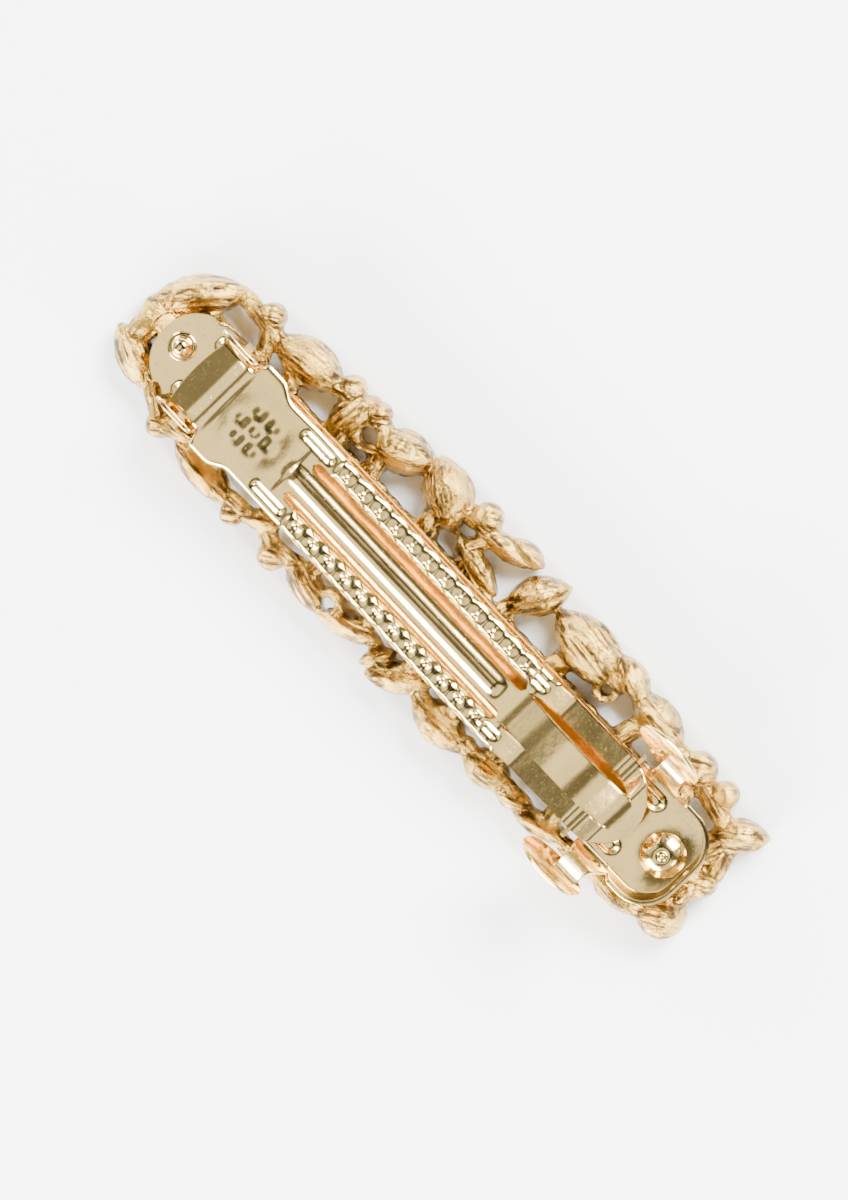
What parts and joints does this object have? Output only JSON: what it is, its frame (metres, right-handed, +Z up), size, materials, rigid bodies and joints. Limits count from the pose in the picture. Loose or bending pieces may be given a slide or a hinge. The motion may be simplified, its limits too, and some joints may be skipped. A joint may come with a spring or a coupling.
{
  "type": "barrette",
  "caption": "French-clip hair barrette: a cast leaf-and-bead front set with clear crystals, and a hinged, toothed clamp arm that latches between two squeeze wings.",
  "frame": {"origin": "under the middle of the barrette, on the surface that its crystals rest on", "axes": "+X from the hinge to the clasp, +Y across, +Z up through the clip, away from the crystals"},
  "size_m": [0.0869, 0.0228, 0.0124],
  "materials": {
    "cast_gold": "gold-plated casting, part polished and part brushed",
    "clip_gold": "polished pale gold plating on spring steel",
    "rivet_gold": "polished gold plating",
    "crystal": "clear faceted glass with a silvered back"
  },
  "bodies": {
    "ornament": {"base_plate": "clip_gold", "clasp_end_rivet": "rivet_gold", "hinge_end_rivet": "rivet_gold", "navette_crystal_01": "crystal", "navette_crystal_02": "crystal", "navette_crystal_03": "crystal", "navette_crystal_04": "crystal", "navette_crystal_05": "crystal", "navette_crystal_06": "crystal", "navette_crystal_07": "crystal", "navette_crystal_08": "crystal", "navette_crystal_09": "crystal", "navette_crystal_10": "crystal", "navette_crystal_11": "crystal", "navette_crystal_12": "crystal", "navette_crystal_13": "crystal", "navette_crystal_14": "crystal", "navette_crystal_15": "crystal", "navette_crystal_16": "crystal", "navette_crystal_17": "crystal", "navette_crystal_18": "crystal", "navette_crystal_19": "crystal", "navette_crystal_20": "crystal", "navette_crystal_21": "crystal", "navette_crystal_22": "crystal", "navette_crystal_23": "crystal", "navette_crystal_24": "crystal", "navette_crystal_25": "crystal", "navette_crystal_26": "crystal", "navette_crystal_27": "crystal", "ornament_casting": "cast_gold", "pave_crystals_lower": "crystal", "pave_crystals_upper": "crystal", "round_crystal_01": "crystal", "round_crystal_02": "crystal", "round_crystal_03": "crystal", "round_crystal_04": "crystal", "round_crystal_05": "crystal", "round_crystal_06": "crystal", "round_crystal_07": "crystal", "round_crystal_08": "crystal", "round_crystal_09": "crystal", "round_crystal_10": "crystal", "round_crystal_11": "crystal", "round_crystal_12": "crystal"},
    "clamp_arm": {"clamp_arm": "clip_gold"},
    "left_wing": {"release_wing_left": "clip_gold"},
    "right_wing": {"release_wing_right": "clip_gold"}
  },
  "joints": [
    {"name": "arm_hinge", "type": "hinge", "parent": "ornament", "child": "clamp_arm", "pos_m": [-0.031, -0.0007, 0.0086], "axis": [0, -1, 0], "range_deg": [0, 44]},
    {"name": "left_wing_squeeze", "type": "hinge", "parent": "ornament", "child": "left_wing", "pos_m": [0.0308, 0.00483, 0.0058], "axis": [1, 0, 0], "range_deg": [-4, 6], "stiffness_Nm_per_rad": 0.02},
    {"name": "right_wing_squeeze", "type": "hinge", "parent": "ornament", "child": "right_wing", "pos_m": [0.0308, -0.00623, 0.0058], "axis": [-1, 0, 0], "range_deg": [-4, 6], "stiffness_Nm_per_rad": 0.02}
  ],
  "couplings": [
    {"joint": "right_wing_squeeze", "follows": "left_wing_squeeze", "ratio": 1}
  ]
}
